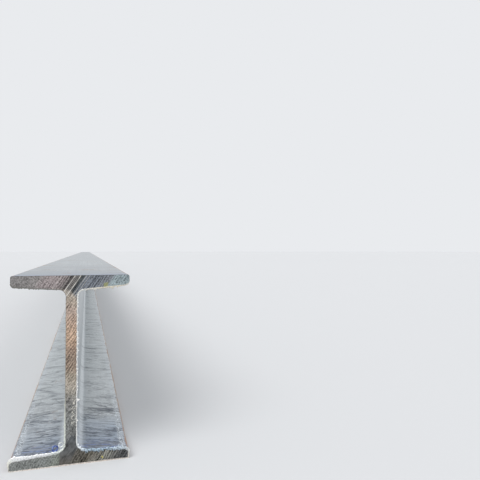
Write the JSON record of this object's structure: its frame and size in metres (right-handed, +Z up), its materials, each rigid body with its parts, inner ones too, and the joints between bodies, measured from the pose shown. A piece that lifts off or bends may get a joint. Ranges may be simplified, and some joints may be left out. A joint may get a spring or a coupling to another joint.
{
  "type": "steel h-beam",
  "caption": "Length of hot-rolled steel beam with an H section, its flanges slightly tapered and both ends saw-cut, used as a structural member.",
  "frame": {"origin": "middle of the lower flange's resting face, halfway along the beam", "axes": "+Z up, square to the flanges; +Y along the beam's length, from the end in the picture to the far end; +X across the flanges"},
  "size_m": [0.09, 6, 0.15],
  "materials": {
    "rolled_steel": "hot-rolled mill scale with light rust, saw-cut ends bright and scored"
  },
  "bodies": {
    "root": {"h_beam": "rolled_steel"}
  },
  "joints": []
}
